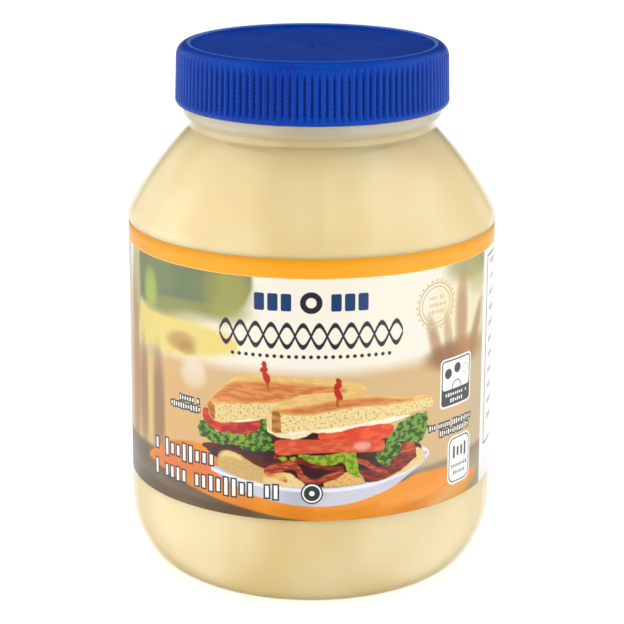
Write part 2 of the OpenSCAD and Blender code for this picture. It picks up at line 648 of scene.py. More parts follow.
@dataclass
class ClearWall:
    """The empty jar: blown wall with its label recess, neck, neck ring and lip."""

    shape: Bottle
    finish: ClearPlastic = field(default_factory=ClearPlastic)
    neck_h: float = 1.6
    ring_slope: float = 1.9
    ring_height: float = 2.2
    ring_out: float = 1.8
    lip_round: float = 0.5
    recess_slope: float = 2.1
    columns: int = 240

    def outline(self) -> np.ndarray:
        """Outline from the middle of the base, up the outside, over the lip and down the inside.

        The label's recess runs out in a long slope below, which keeps the light in the wall even,
        and in a short one above.

        Returns:
            Array of (points, 2).
        """
        s = self.shape
        neck, bore = s.neck_r, s.neck_r - s.neck_wall
        ring = neck + self.ring_out
        ring_foot = s.neck_foot + self.neck_h
        edge = ring_foot + self.ring_slope
        low, high = s.label_low - s.recess_margin, s.label_high + s.recess_margin
        ledge = s.body_r - s.recess
        recess = soften([
            (s.body_r, low - 5, 0), (s.body_r, low - 0.3 - self.recess_slope, 0.8), (ledge, low - 0.3, 0.5),
            (ledge, high - 0.12, 0.09), (s.body_r, high, 0.06), (s.body_r, s.body_top, 0),
        ], 3)
        outer = s.shoulder(0, 0.5)
        foot = s.shoulder(0)[-1]
        collar = soften([
            (*outer[-1], 0), (*foot, 0.6), (neck, ring_foot, 0.4), (ring, edge, 0.5),
            (ring, edge + self.ring_height, 0.35), (neck, edge + self.ring_height, 0.3),
            (neck, s.lip, self.lip_round), (bore, s.lip, self.lip_round),
            (bore, s.neck_foot - s.wall / 2, 0.5), *[(*p, 0) for p in s.shoulder(s.wall, 1.2)[-1:]],
        ])
        inner = np.vstack([s.heel(s.wall), s.shoulder(s.wall, 1.2)[:-1]])[::-1]
        floor = s.base(s.wall)[::-1]
        return np.vstack([s.base(0), s.heel(0), recess, outer[1:-1], collar, inner, floor])

    def build(self) -> bpy.types.Object:
        """Turns the outline into the closed wall and dresses it."""
        wall = revolve("jar_wall", self.outline(), self.columns)
        wall.data.materials.append(self.finish.material())
        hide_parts("jar")
        return wall


@dataclass
class Filling:
    """Mayonnaise up to its level in the neck, reaching just into the wall."""

    shape: Bottle
    level: float
    finish: Cream = field(default_factory=Cream)
    reach: float = 0.1
    meniscus: float = 0.6
    curl: float = 2.0
    # Height above the foot of the neck at which the painted reflection in the neck begins.
    neck_reflection_above: float = 2.0
    columns: int = 240

    def outline(self) -> np.ndarray:
        """Outline of the inside, let out by reach, with a level top that curls up at the neck.

        Returns:
            Array of (points, 2).
        """
        s = self.shape
        inset = s.wall - self.reach
        bore = s.neck_r - s.neck_wall + self.reach
        side = np.vstack([s.heel(inset), s.shoulder(inset, 1.0)])
        top = soften([
            (*side[-1], 0), (bore, s.neck_foot - s.wall / 2, 0.5), (bore, self.level, 0.1),
            (bore - self.curl, self.level - self.meniscus, 0.8), (0, self.level - self.meniscus, 0),
        ])
        return np.vstack([s.base(inset), side[:-1], top])

    def build(self) -> bpy.types.Object:
        """Turns the outline into the closed filling and dresses it."""
        fill = revolve("mayo_fill", self.outline(), self.columns)
        fill.data.materials.append(self.finish.material(self.shape.neck_foot + self.neck_reflection_above))
        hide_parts("mayonnaise")
        return fill


# ---------------------------------------------------------------- lid


@dataclass
class RibbedLid:
    """Screw lid: recessed panel with a dish and nub, thin rim, rounded shoulder and ribbed skirt."""

    hem_out: float
    foot: float
    top: float
    finish: LidPlastic = field(default_factory=LidPlastic)
    flare: float = 0.35
    skirt_wall: float = 1.5
    panel_depth: float = 1.0
    panel_t: float = 1.3
    round_r: float = 3.3
    rim_r: float = 0.6
    hem_r: float = 1.2
    ribs: int = 120
    groove_depth: float = 0.55
    groove_w: float = 0.52
    groove_end: float = 1.1
    run_out: float = 0.12
    bunching: float = 0.1
    band: float = 1.5
    dish_r: float = 7.0
    dish_depth: float = 0.3
    nub_r: float = 0.6
    nub_h: float = 0.4
    blend: float = 0.05
    columns_per_rib: int = 10

    @property
    def crest(self) -> float:
        """Radius of the highest line of the rim."""
        return self.hem_out - self.flare - self.round_r

    def outline(self) -> np.ndarray:
        """Outline from under the panel, down the inside, round the hem and up to the nub.

        On the straight skirt its points are close together over the first run_out of the height,
        where the grooves end.

        Returns:
            Array of (points, 2).
        """
        crest = self.crest
        inside = self.hem_out - self.flare - self.skirt_wall
        panel = self.top - self.panel_depth
        dip = panel - self.dish_depth
        under = soften([
            (0, panel - self.panel_t, 0), (inside, panel - self.panel_t, 0.8), (inside, self.foot, 0.3),
            (self.hem_out - self.hem_r, self.foot, 0),
        ], 3)
        hem = arc(self.hem_out - self.hem_r, self.foot + self.hem_r, self.hem_r, -90, 0, 6)
        shoulder = arc(crest, self.top - self.round_r, self.round_r, 0, 90, 14)
        share = np.concatenate([np.linspace(0, self.run_out, 8)[1:], np.linspace(0.3, 0.76, 3)])
        rise = hem[-1] + share[:, None] * (shoulder[0] - hem[-1])
        rim = arc(crest, self.top - self.rim_r, self.rim_r, 90, 180, 4)
        middle = soften([
            (*rim[-1], 0), (crest - self.rim_r, panel, 0.2), (self.dish_r, panel, 0.9),
            (self.nub_r + 2.2, dip, 0.9), (self.nub_r, dip, 0.12), (self.nub_r, dip + self.nub_h, 0.15),
            (0, dip + self.nub_h, 0),
        ], 3)
        return np.vstack([under[:-1], hem, rise, shoulder, rim[1:-1], middle])

    def angles(self) -> np.ndarray:
        """Column angles, closer together over each groove: even steps less a sine of the step."""
        step = np.arange(self.ribs * self.columns_per_rib) / self.columns_per_rib
        return (step - self.bunching * np.sin(2 * np.pi * step)) * 2 * np.pi / self.ribs

    def carve(self, radius: np.ndarray, height: np.ndarray, angles: np.ndarray) -> np.ndarray:
        """Cuts the grooves into the outside.

        A groove's floor is the flared skirt line less a depth. The depth is nearly a parabola across
        the groove and ends in a quarter round above the plain band. The surface is the smooth
        minimum of the outline and that floor, so a groove runs out where the shoulder turns in.

        Args:
            radius: Array of (rows, columns) of the outline.
            height: Array of (rows,).
            angles: Array of (columns,).

        Returns:
            The carved radii.
        """
        pitch = 2 * np.pi / self.ribs
        off = (angles / pitch + 0.5) % 1 - 0.5
        across = np.abs(off) * pitch * self.hem_out / self.groove_w
        shape = (1 - np.clip(across, 0, 1) ** 2) ** 0.8
        start = self.foot + self.band
        ends = np.sqrt(1 - np.clip((start + self.groove_end - height) / self.groove_end, 0, 1) ** 2)
        line = self.hem_out - self.flare * (height - self.foot) / (self.top - self.foot)
        floor = line[:, None] - self.groove_depth * shape * ends[:, None]
        low = 0.5 * (radius + floor - np.sqrt((radius - floor) ** 2 + self.blend ** 2))
        outside = (radius > self.hem_out - self.flare - self.skirt_wall + 0.1) & (shape > 0)
        share = np.where(outside, ends[:, None] > 0, False)
        return np.where(share, np.minimum(low, radius), radius)

    def build(self) -> bpy.types.Object:
        """Makes the closed lid and dresses it."""
        outline = self.outline()
        angles = self.angles()
        radius = np.repeat(outline[:, :1], angles.size, axis=1)
        lid = turned("lid_cap", self.carve(radius, outline[:, 1], angles), outline[:, 1], angles)
        lid.data.materials.append(self.finish.material(self))
        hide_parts("lid")
        return lid


# ---------------------------------------------------------------- print


class Zone(Enum):
    """Parts of the film that have a print of their own. The value is the material's place."""

    PICTURE = 0
    STRIPE = 1
    BACK = 2
    INSIDE = 3


@dataclass
class FilmSheet:
    """The label as a closed sheet round the body, with a lap where its ends meet at the back."""

    shape: Bottle
    film: float = 0.07
    lift: float = 0.01
    lap: float = 6.0
    lap_rise: float = 2.0
    stripe_low: float = 65.0
    picture_left: float = -74.0
    picture_right: float = 58.0
    columns: tuple[int, int, int] = (60, 120, 70)
    rows: tuple[int, int] = (3, 10)

    @property
    def radius(self) -> float:
        """Radius of the inside of the film."""
        return self.shape.body_r - self.shape.recess + self.lift

    @property
    def height(self) -> float:
        """Height of the label."""
        return self.shape.label_high - self.shape.label_low

    @property
    def reach(self) -> float:
        """Distance along the film from the middle of the front to either end."""
        return math.pi * self.radius + self.lap / 2

    def build(self, materials: Sequence[bpy.types.Material]) -> bpy.types.Object:
        """Makes the sheet.

        A column at distance s along the film stands at the angle s over the radius. The last
        stretch lifts by the film's thickness in a smooth step and lies over the first. The columns
        are shared out left of the picture, over it and right of it, and the rows over the stripe and
        under it, so that each print ends at an edge.

        Args:
            materials: One for each Zone, in its order.

        Returns:
            The new object.
        """
        left, right = self.picture_left, self.picture_right
        before, over, after = self.columns
        s = np.concatenate([
            np.linspace(-self.reach, left, before)[:-1], np.linspace(left, right, over)[:-1],
            np.linspace(right, self.reach, after),
        ])
        upper, lower = self.rows
        z = np.concatenate([
            np.linspace(self.height, self.stripe_low, upper)[:-1], np.linspace(self.stripe_low, 0, lower),
        ])
        end = self.reach - self.lap
        rise = turn_between(end - self.lap_rise, end, s) * (self.film + self.lift)
        rows = z.size
        loop_z = np.concatenate([z, z[::-1]])
        out = np.repeat([self.film, 0.0], rows)
        radius = self.radius + rise[:, None] + out[None, :]
        angle = (s / self.radius - np.pi / 2)[:, None]
        up = np.broadcast_to(loop_z + self.shape.label_low, radius.shape)
        points = np.stack([radius * np.cos(angle), radius * np.sin(angle), up], axis=-1)
        quads = grid_quads(s.size, 2 * rows, True)
        k = np.arange(rows - 1)
        cap = np.stack([k, k + 1, 2 * rows - 2 - k, 2 * rows - 1 - k], axis=-1)
        last = cap + (s.size - 1) * 2 * rows
        faces = np.vstack([quads, last, cap[:, ::-1]])
        sheet = mesh_object("label_film", points.reshape(-1, 3), faces.tolist())
        flat = np.stack(np.broadcast_arrays((s[:, None] + self.reach) / (2 * self.reach),
                                            loop_z[None, :] / self.height), axis=-1).reshape(-1, 2)
        self._map_print(sheet.data, flat)
        for material in materials:
            sheet.data.materials.append(material)
        middle = flat[faces].mean(axis=1) * [2 * self.reach, self.height] - [self.reach, 0]
        outside = np.tile(np.arange(2 * rows) < rows - 1, s.size - 1)
        outer = np.concatenate([outside, np.zeros(2 * (rows - 1), bool)])
        sheet.data.polygons.foreach_set("material_index", self._zones(middle, outer))
        sheet.data.update()
        return sheet

    def _zones(self, middle: np.ndarray, outer: np.ndarray) -> np.ndarray:
        """Zone of each face, from its middle on the film and whether it is on the outside."""
        pictured = (middle[:, 0] > self.picture_left) & (middle[:, 0] < self.picture_right)
        zone = np.where(pictured, Zone.PICTURE.value, Zone.BACK.value)
        zone = np.where(middle[:, 1] > self.stripe_low, Zone.STRIPE.value, zone)
        return np.where(outer, zone, Zone.INSIDE.value).astype(np.int32)

    @staticmethod
    def _map_print(mesh: bpy.types.Mesh, flat: np.ndarray) -> None:
        """Gives the mesh a UV map that lays the film out flat.

        Args:
            mesh: Mesh of the film.
            flat: Place of each vertex on the film, from 0 to 1 each way.
        """
        layer = mesh.uv_layers.new(name=PRINT_MAP)
        corners = np.empty(len(mesh.loops), dtype=np.int32)
        mesh.loops.foreach_get("vertex_index", corners)
        layer.data.foreach_set("uv", flat[corners].astype(np.float32).ravel())


@dataclass(frozen=True)
class Place:
    """A place on the film in millimetres, along it and up it."""

    x: Pin
    z: Pin


class Edge(Enum):
    """How far and how finely the outline of a painted shape wanders: (amount, size) in mm."""

    CLEAN = (0.0, 1.0)
    UNEVEN = (0.7, 2.4)
    RUFFLED = (2.4, 2.1)


class Grain(Enum):
    """Pattern between a shape's two inks: (size along, size up, low, high, detail).

    The sizes are in mm, and the second ink grows from the low to the high level of the noise.
    """

    FLAT = (1.0, 1.0, 2.0, 3.0, 0.0)
    CRUMB = (0.7, 0.6, 0.5, 0.72, 3.0)
    TOAST = (5.0, 1.1, 0.4, 0.62, 4.0)
    LEAF = (1.5, 1.2, 0.44, 0.6, 3.0)
    FLESH = (4.0, 1.6, 0.42, 0.68, 1.0)
    STREAK = (3.2, 0.8, 0.42, 0.6, 2.0)
    BLUR = (16.0, 12.0, 0.35, 0.65, 0.0)


@dataclass(frozen=True)
class Patch:
    """One painted shape between an upper and a lower curve over the same stretch of the film."""

    upper: Sequence[Point]
    lower: Sequence[Point]
    ink: Colour
    second: Colour | None = None
    grain: Grain = Grain.FLAT
    edge: Edge = Edge.CLEAN
    soft: float = 0.14
    strength: float = 1.0


class Artwork(MaterialBoard):
    """A print that is painted in layers, in millimetres along and up the film.

    All masks are worked out on plain numbers and in the order of the layers, because the renderer
    has room for few values at once and puts off every node behind a change of socket type.
    """

    def __init__(self, name: str, film: FilmSheet, ground: Colour) -> None:
        """Starts the print.

        Args:
            name: Name of the material.
            film: The sheet that it is printed on.
            ground: Colour of the bare film.
        """
        super().__init__(name)
        self.film = film
        self.unit = self.node("ShaderNodeUVMap", {"uv_map": PRINT_MAP})
        along = self.node("ShaderNodeSeparateXYZ", None, {0: self.unit})
        x = along.scaled(2 * film.reach, -film.reach)
        z = along.other("Y") * film.height
        self.places = {Edge.CLEAN: Place(x, z)}
        self.grains: dict[Grain, Pin] = {}
        self.colour: Pin | Colour = ground

    @property
    def clean(self) -> Place:
        """The place itself."""
        return self.places[Edge.CLEAN]

    def print_noise(self, wide: float, high: float, detail: float, shift: float = 0.0) -> Pin:
        """Smooth noise on the film.

        Args:
            wide: Size of its features along the film in mm.
            high: Their size up the film.
            detail: Finer layers that are added.
            shift: Moves the noise, so that two of one size differ.

        Returns:
            A number about 0.5.
        """
        scale = (2 * self.film.reach / wide, self.film.height / high, 1.0)
        moved = {"Vector": self.unit, "Location": (shift, shift, 0.0), "Scale": scale}
        values = {"Vector": self.node("ShaderNodeMapping", None, moved), "Scale": 1.0, "Detail": detail}
        return self.node("ShaderNodeTexNoise", {"noise_dimensions": "2D"}, values)

    def place(self, edge: Edge) -> Place:
        """The place, moved by noise.

        Args:
            edge: How far and how finely it is moved.

        Returns:
            The moved place, which is made once for each edge.
        """
        if edge not in self.places:
            amount, size = edge.value
            drift = [self.print_noise(size, size, 2.0, shift) for shift in (0.0, 40.0)]
            x, z = (noise.scaled(amount, -amount / 2) for noise in drift)
            self.places[edge] = Place(self.clean.x + x, self.clean.z + z)
        return self.places[edge]

    def pattern(self, grain: Grain) -> Pin:
        """Mask of a grain's second ink."""
        if grain not in self.grains:
            along, up, low, high, detail = grain.value
            self.grains[grain] = self.print_noise(along, up, detail, 7.0).step(low, high)
        return self.grains[grain]

    def lay(self, mask: Pin, ink: "Colour | Pin") -> None:
        """Paints an ink over what is there, where the mask says."""
        self.colour = self.mix(mask, self.colour, ink)

    def patch(self, patch: Patch) -> None:
        """Paints a patch.

        Its two curves are float curves of the share of its stretch. The mask is the product of two
        soft steps, below the upper and above the lower curve, and one for the ends.

        Args:
            patch: The shape and its inks.
        """
        at = self.place(patch.edge)
        every = [*patch.upper, *patch.lower]
        left, right = patch.upper[0][0], patch.upper[-1][0]
        low, high = min(z for _, z in every), max(z for _, z in every)
        span = high - low
        share = (at.x - left) / (right - left)
        level = (at.z - low) / span
        soft = patch.soft / span
        edges = []
        for line in (patch.upper, patch.lower):
            points = [((x - left) / (right - left), (z - low) / span) for x, z in line]
            edges.append(self.node("ShaderNodeFloatCurve", {"points": points}, {"Value": share}))
        below = (edges[0] - level).step(-soft, soft)
        above = (level - edges[1]).step(-soft, soft)
        ends = abs(share - 0.5).step(0.5 + patch.soft / (right - left), 0.5)
        mask = below * above * ends
        ink = patch.ink
        if patch.second is not None:
            ink = self.mix(self.pattern(patch.grain), patch.ink, patch.second)
        self.lay(mask * patch.strength if patch.strength < 1 else mask, ink)

    def oval(
        self, x: float, z: float, wide: float, high: float, ink: Colour,
        turn: float = 0.0, soft: float = 0.1, strength: float = 1.0, edge: Edge = Edge.CLEAN,
    ) -> None:
        """Paints an ellipse.

        Args:
            x: Centre along the film.
            z: Centre up the film.
            wide: Half its width.
            high: Half its height.
            ink: Its colour.
            turn: Degrees that it is turned counter-clockwise.
            soft: Share of its size over which its edge fades.
            strength: How much it covers.
            edge: How its outline wanders.
        """
        at, angle = self.place(edge), math.radians(turn)
        cos, sin = math.cos(angle), math.sin(angle)
        if turn:
            along = at.x.scaled(cos / wide, at.z.scaled(sin / wide, -(x * cos + z * sin) / wide))
            up = at.x.scaled(-sin / high, at.z.scaled(cos / high, (x * sin - z * cos) / high))
        else:
            along, up = at.x.scaled(1 / wide, -x / wide), at.z.scaled(1 / high, -z / high)
        square = up.scaled(up, along * along)
        self.lay(square.step((1 + soft) ** 2, (1 - soft) ** 2, 0.0, strength), ink)

    def box_gap(self, x: float, z: float, wide: float, high: float, corner: float) -> Pin:
        """Distance outside a rounded box, negative inside down to the corner's radius.

        It is the length of the positive part of the place's size from the centre, less the box
        drawn in by the corner's radius, less that radius.

        Args:
            x: Centre along the film.
            z: Centre up the film.
            wide: Half its width.
            high: Half its height.
            corner: Radius of its corners.

        Returns:
            The distance in mm.
        """
        along = (abs(self.clean.x - x) - (wide - corner)).most(0.0)
        up = (abs(self.clean.z - z) - (high - corner)).most(0.0)
        return up.scaled(up, along * along).root() - corner

    def box(
        self, x: float, z: float, wide: float, high: float, ink: Colour,
        corner: float = 0.5, soft: float = 0.1,
    ) -> Pin:
        """Paints a rounded box.

        Args:
            x: Centre along the film.
            z: Centre up the film.
            wide: Half its width.
            high: Half its height.
            ink: Its colour.
            corner: Radius of its corners.
            soft: Distance over which its edge fades.

        Returns:
            The distance outside it.
        """
        gap = self.box_gap(x, z, wide, high, corner)
        self.lay(gap.step(soft, -soft), ink)
        return gap

    def ring(self, x: float, z: float, radius: float, half: float, ink: Colour, soft: float = 0.1) -> Pin:
        """Paints a ring of a radius and a half width, and returns the distance from its centre."""
        along, up = self.clean.x - x, self.clean.z - z
        out = up.scaled(up, along * along).root()
        self.lay(abs(out - radius).step(half + soft, half - soft), ink)
        return out

    def dots(self, x: float, z: float, half: float, pitch: float, radius: float, ink: Colour) -> None:
        """Paints a level row of dots that reaches half its length to each side of x."""
        along = (self.clean.x - x).saw(pitch)
        up = self.clean.z - z
        gap = (along * along + up * up).step((radius + 0.12) ** 2, (radius - 0.12) ** 2)
        self.lay(gap * abs(self.clean.x - x).step(half, half - 0.05), ink)

    def strokes(
        self, x: float, z: float, wide: float, high: float, pitch: float, ink: Colour,
        fill: float = 0.55, soft: float = 0.12, halo: Colour | None = None,
    ) -> None:
        """Paints a row of plain upright strokes of uneven height, with a gap here and there.

        The number of the stroke gives a random level, which sets its height and leaves out those
        above 0.93.

        Args:
            x: Centre along the film.
            z: Centre up the film.
            wide: Half the row's width, which is rounded to whole strokes.
            high: Half its height.
            pitch: Distance from stroke to stroke.
            ink: Colour of the strokes.
            fill: Share of the pitch that a stroke takes.
            soft: Distance over which edges fade.
            halo: Colour of an outline round them.
        """
        along = self.clean.x - x
        level = self.node(
            "ShaderNodeTexWhiteNoise", {"noise_dimensions": "1D"}, {"W": (along / pitch).whole() + z})
        top = level.step(0.1, 0.8, high + 2, high * 0.6 + 2) * level.step(0.94, 0.93) - 2
        across = (along - pitch / 2).saw(pitch) - fill * pitch / 2
        up = abs(self.clean.z - z) - top
        ends = abs(along) - (round(wide / pitch) - (1 - fill) / 2) * pitch
        gap = across.most(up).most(ends)
        if halo is not None:
            self.lay(gap.step(0.45 + soft, 0.45 - soft), halo)
        self.lay(gap.step(soft, -soft), ink)

    def finish(self, gloss: FilmGloss) -> bpy.types.Material:
        """Puts the painted colour on the film's shader."""
        return self.surface(gloss.shader(self, self.colour))


@dataclass(frozen=True)
class PrintInks:
    """Inks of the label."""

    cream: Colour = srgb(244, 237, 221)
    sand: Colour = srgb(214, 180, 130)
    honey: Colour = srgb(222, 176, 112)
    beige: Colour = srgb(200, 182, 146)
    tan: Colour = srgb(176, 126, 76)
    brown: Colour = srgb(132, 86, 62)
    taupe: Colour = srgb(118, 101, 80)
    dark_taupe: Colour = srgb(104, 82, 54)
    leaf_shade: Colour = srgb(108, 124, 92)
    moss: Colour = srgb(128, 138, 82)
    olive: Colour = srgb(166, 162, 80)
    lime: Colour = srgb(172, 192, 88)
    straw: Colour = srgb(232, 212, 124)
    orange: Colour = srgb(238, 148, 42)
    amber: Colour = srgb(222, 132, 26)
    salmon: Colour = srgb(226, 120, 66)
    plate: Colour = srgb(206, 206, 218)
    plate_light: Colour = srgb(240, 240, 246)
    plate_shade: Colour = srgb(184, 184, 200)
    crumb: Colour = srgb(232, 208, 146)
    crumb_shade: Colour = srgb(206, 174, 108)
    crumb_glow: Colour = srgb(232, 206, 130)
    crumb_light: Colour = srgb(238, 216, 152)
    seed: Colour = srgb(196, 148, 86)
    gold: Colour = srgb(228, 182, 104)
    bread_top: Colour = srgb(236, 196, 120)
    bread_front: Colour = srgb(236, 194, 122)
    toast: Colour = srgb(204, 116, 52)
    toast_light: Colour = srgb(222, 146, 78)
    toast_front: Colour = srgb(218, 138, 70)
    crust: Colour = srgb(166, 98, 40)
    crust_light: Colour = srgb(198, 138, 72)
    crust_edge: Colour = srgb(236, 200, 140)
    spread: Colour = srgb(250, 240, 210)
    spread_shade: Colour = srgb(240, 222, 180)
    tomato: Colour = srgb(222, 66, 36)
    tomato_light: Colour = srgb(228, 104, 66)
    tomato_deep: Colour = srgb(168, 36, 34)
    tomato_bright: Colour = srgb(236, 92, 52)
    tomato_side: Colour = srgb(212, 78, 44)
    tomato_glint: Colour = srgb(240, 180, 160)
    lettuce: Colour = srgb(46, 82, 28)
    lettuce_light: Colour = srgb(118, 156, 56)
    lime_leaf: Colour = srgb(152, 184, 38)
    lime_shade: Colour = srgb(112, 140, 30)
    dark: Colour = srgb(64, 30, 26)
    plum: Colour = srgb(62, 38, 46)
    bacon: Colour = srgb(152, 52, 30)
    bacon_light: Colour = srgb(196, 92, 58)
    bacon_deep: Colour = srgb(104, 34, 26)
    flag: Colour = srgb(190, 42, 26)
    navy: Colour = srgb(28, 62, 112)
    charcoal: Colour = srgb(46, 42, 54)
    seal: Colour = srgb(212, 190, 136)
    white: Colour = srgb(252, 252, 250)
    slate: Colour = srgb(62, 64, 66)
    silver: Colour = srgb(196, 196, 198)
    stripe: Colour = srgb(250, 168, 20)
    hairline: Colour = srgb(250, 214, 150)
    paper: Colour = srgb(248, 247, 243)
    pale_cream: Colour = srgb(250, 240, 216)
    adhesive: Colour = srgb(244, 243, 238)
    adhesive_shade: Colour = srgb(236, 234, 226)


INKS = PrintInks()


class FrontPicture(Artwork):
    """Front of the label: a sandwich on a plate before a blurred garden table, with plain marks."""

    def __init__(self, film: FilmSheet) -> None:
        """Paints the picture from back to front."""
        super().__init__("print_picture", film, INKS.cream)
        self.garden()
        self.table()
        self.dish()
        for layer in (*self.lower_half(), *self.salad(), *self.back_slice(), *self.front_slice()):
            self.patch(layer)
        self.flags()
        self.title_marks()
        self.seal()
        self.badges()
        self.contents_marks()

    def garden(self) -> None:
        """Blurred things behind the plate: bushes, a pale hedge and what stands on the table."""
        for layer in (
            Patch([(-90, 39.5), (-20, 40.5), (0, 40), (30, 41), (61, 42)], [(-90, 6), (61, 6)],
                  INKS.sand, soft=2.5),
            Patch([(-58, 51.5), (-28, 50.5), (-20, 48)], [(-58, 39.6), (-36, 40.6), (-20, 44)],
                  INKS.straw, soft=2.0),
            Patch([(-57, 68), (-16, 68)], [(-57, 52), (-44, 51), (-34, 53), (-24, 53.5), (-16, 60)],
                  INKS.leaf_shade, soft=1.6),
        ):
            self.patch(layer)
        blurs = (
            (58, 26, 9, 20, INKS.beige, 0, 0.5, 0.8),
            (-47, 62, 8, 5, INKS.moss, 10, 0.6, 0.5), (-22, 60, 6, 7, INKS.olive, 0, 0.5, 0.8),
            (-36, 53.4, 15, 2.2, INKS.olive, 3, 0.7, 0.6),
            (-30, 61, 4.5, 3.5, INKS.moss, 0, 0.7, 0.5), (-50.5, 56, 2.4, 4.2, INKS.lime, 0, 0.8, 0.85),
            (-37.5, 44.8, 4.2, 2.0, INKS.tan, 6, 0.7, 0.7), (-35, 43.2, 2.6, 1.4, INKS.tan, 0, 0.7, 0.6),
            (-49, 39, 3.4, 1.8, INKS.beige, 0, 0.6, 0.8), (-33, 36.8, 3.2, 3.2, INKS.cream, 0, 0.7, 0.85),
            (-34, 22, 7, 13, INKS.honey, 0, 0.7, 0.6), (-55.5, 26, 2.4, 13, INKS.brown, 0, 0.6, 0.6),
            (-47, 23, 2.6, 14, INKS.brown, 0, 0.6, 0.7), (-41.5, 24, 2.0, 12, INKS.honey, 0, 0.6, 0.9),
            (-51.3, 27, 1.3, 11, INKS.straw, 0, 0.8, 0.4), (-60.5, 56, 3.4, 12, INKS.olive, 0, 0.35, 0.8),
            (-62.5, 32, 4.0, 24, INKS.tan, 0, 0.3, 0.9), (-71, 40, 6, 34, INKS.beige, 0, 0.3, 0.9),
            (50, 64, 9.5, 4.2, INKS.leaf_shade, 0, 0.5, 0.9), (54, 61, 6, 5, INKS.moss, 0, 0.6, 0.6),
            (47, 53, 11, 12, INKS.straw, 0, 0.6, 0.4), (45.5, 50, 2.2, 9.5, INKS.tan, 0, 0.7, 0.8),
            (35, 45, 1.5, 6, INKS.tan, 18, 0.7, 0.8), (40, 45, 1.3, 6, INKS.tan, 8, 0.7, 0.6),
            (53, 45, 1.7, 7, INKS.tan, -24, 0.7, 0.8), (44.5, 40.5, 11, 3.8, INKS.tan, 0, 0.5, 0.9),
            (39, 41, 5, 2.2, INKS.brown, 0, 0.7, 0.6),
        )
        for blur in blurs:
            self.oval(*blur)

    def table(self) -> None:
        """Table top and the cloth that lies on it under the plate."""
        for layer in (
            Patch([(-80, 12.6), (-50, 12.4), (0, 11.2), (61, 12.6)], [(-80, -4), (61, -4)],
                  INKS.taupe, INKS.dark_taupe, Grain.BLUR, soft=1.0),
            Patch([(30, 11.5), (44, 12.2), (61, 12.4)], [(30, -4), (61, -4)],
                  INKS.beige, soft=6.0, strength=0.6),
            Patch([(-52, 10.2), (-46, 14), (-40, 16.8), (-33, 18), (-24, 17.4), (-16, 10), (0, 7),
                   (24, 8.6), (30, 10), (38, 9.8), (46, 8.2), (52, 6.4), (54.5, 5)],
                  [(-52, 9), (-42, 7), (-34, 5.4), (-28, 4.2), (-14, 1.8), (-6, 0.6), (4, -0.4), (20, -2),
                   (30, -2), (46, -1), (52, 1.5), (54.5, 3.6)],
                  INKS.orange, INKS.amber, Grain.BLUR, soft=0.4),
            Patch([(-52, 9.8), (-44, 13), (-38, 15), (-30, 15), (-24, 12)],
                  [(-52, 9.4), (-38, 8), (-28, 8), (-24, 9)], INKS.salmon, soft=2.0, strength=0.8),
            Patch([(26, 1.5), (34, 3.4), (44, 5.8), (53, 6.2)],
                  [(26, 1.0), (34, 2.6), (44, 5.0), (53, 5.8)], INKS.amber, soft=0.5, strength=0.7),
            Patch([(34, 0.8), (42, 3.2), (51, 4.4)], [(34, -1), (42, -0.5), (51, 2.4)],
                  INKS.gold, soft=1.2, strength=0.6),
            Patch([(-10, 3.4), (6, 2.6), (18, 4.4)], [(-10, 1.6), (6, 1.2), (18, 2.8)],
                  INKS.amber, soft=1.0, strength=0.6),
        ):
            self.patch(layer)

    def dish(self) -> None:
        """Pale plate with a bright rim."""
        rim = [(-27, 12.2), (-18, 10.4), (-8, 9.2), (2, 8.8), (12, 9.2), (22, 10.8), (30, 13.4), (33.4, 15.6)]
        for layer in (
            Patch([(-27, 12.6), (-20, 13), (20, 14), (27, 17), (31, 17.2), (33, 15.8), (33.9, 14.4)],
                  [(-27, 11.6), (-20, 8.2), (-12, 5.6), (4, 4.0), (18, 6.4), (28, 11), (33.9, 14.2)],
                  INKS.plate, INKS.plate_shade, Grain.BLUR, soft=0.2),
            Patch(rim, [(x, z - 0.9) for x, z in rim], INKS.plate_light, soft=0.35, strength=0.9),
            Patch([(24, 15.5), (28, 17.4), (31, 17.3), (33.4, 15.4)],
                  [(24, 14.9), (28, 16.6), (31, 16.4), (33.4, 14.8)],
                  INKS.plate_light, soft=0.2, strength=0.8),
        ):
            self.patch(layer)

